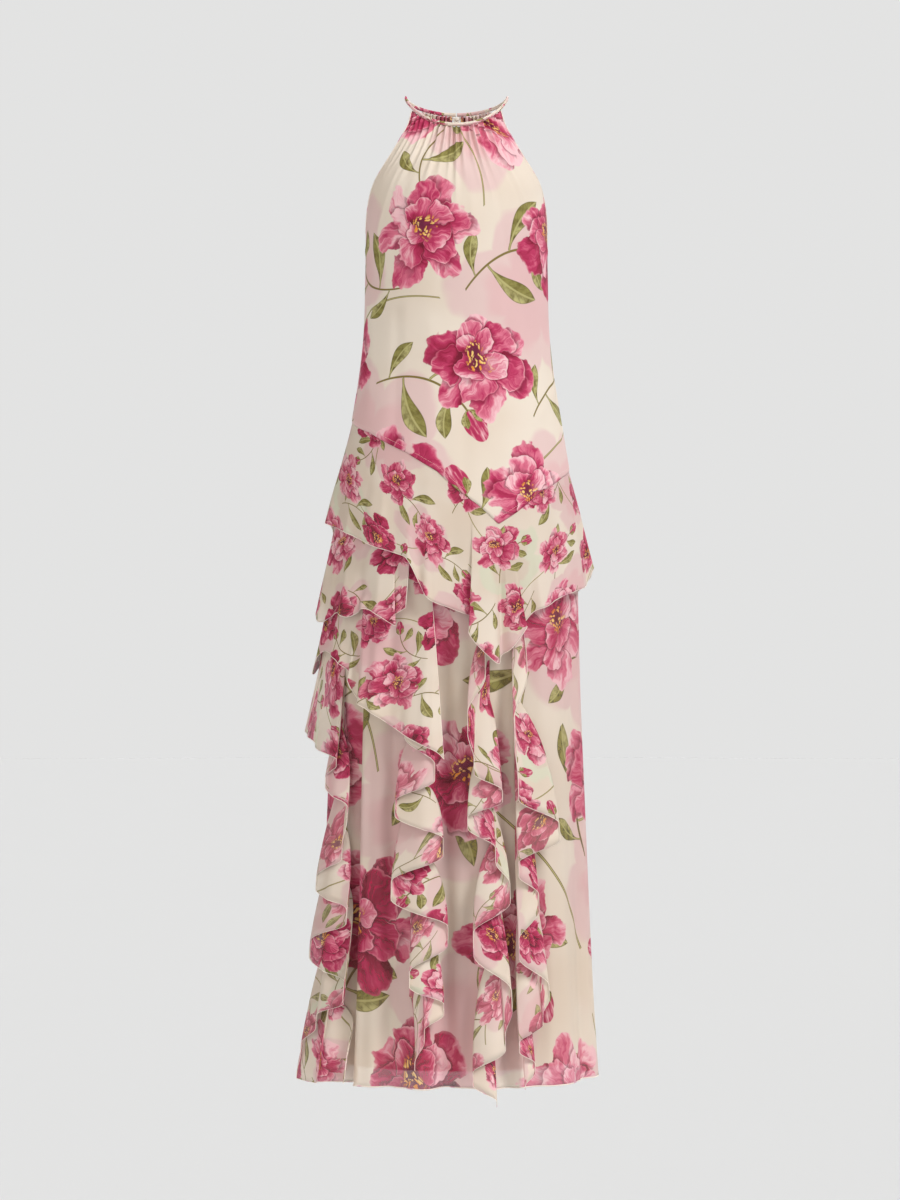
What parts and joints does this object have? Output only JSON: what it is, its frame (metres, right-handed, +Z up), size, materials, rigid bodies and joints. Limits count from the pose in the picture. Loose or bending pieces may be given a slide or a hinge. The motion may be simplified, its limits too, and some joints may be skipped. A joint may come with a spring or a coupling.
{
  "type": "maxi dress",
  "caption": "Long sleeveless halter dress in printed chiffon, filled out as worn, with a gathered round neck, a slanted hip seam, flounces and cascading ruffles down a flared lined skirt.",
  "frame": {"origin": "middle of the neck opening, level with the sides of the neckband, where the wearer's neck holds the dress up", "axes": "+Z up along the dress, -Y out of the front, +X to the right of the picture, which is the wearer's left"},
  "size_m": [0.4498, 0.3459, 1.4867],
  "materials": {
    "bodice": "matt",
    "skirt": "matt",
    "lining": "satin",
    "flounce": "matt",
    "cascade": "matt",
    "band": "matt",
    "button": "satin"
  },
  "bodies": {
    "root": {"bodice_front": "bodice", "bodice_back": "bodice", "neckband": "band", "neck_button": "button", "button_loop": "band", "skirt_front": "skirt", "skirt_back": "skirt", "skirt_lining": "lining", "hip_flounce_front": "flounce", "hip_flounce_back": "flounce", "side_flounce_middle": "flounce", "side_flounce_lower": "flounce", "cascade_left": "cascade", "cascade_center": "cascade", "cascade_right_inner": "cascade", "cascade_right_outer": "cascade", "cascade_back_left": "cascade", "cascade_back_center": "cascade", "cascade_back_right": "cascade"}
  },
  "joints": []
}
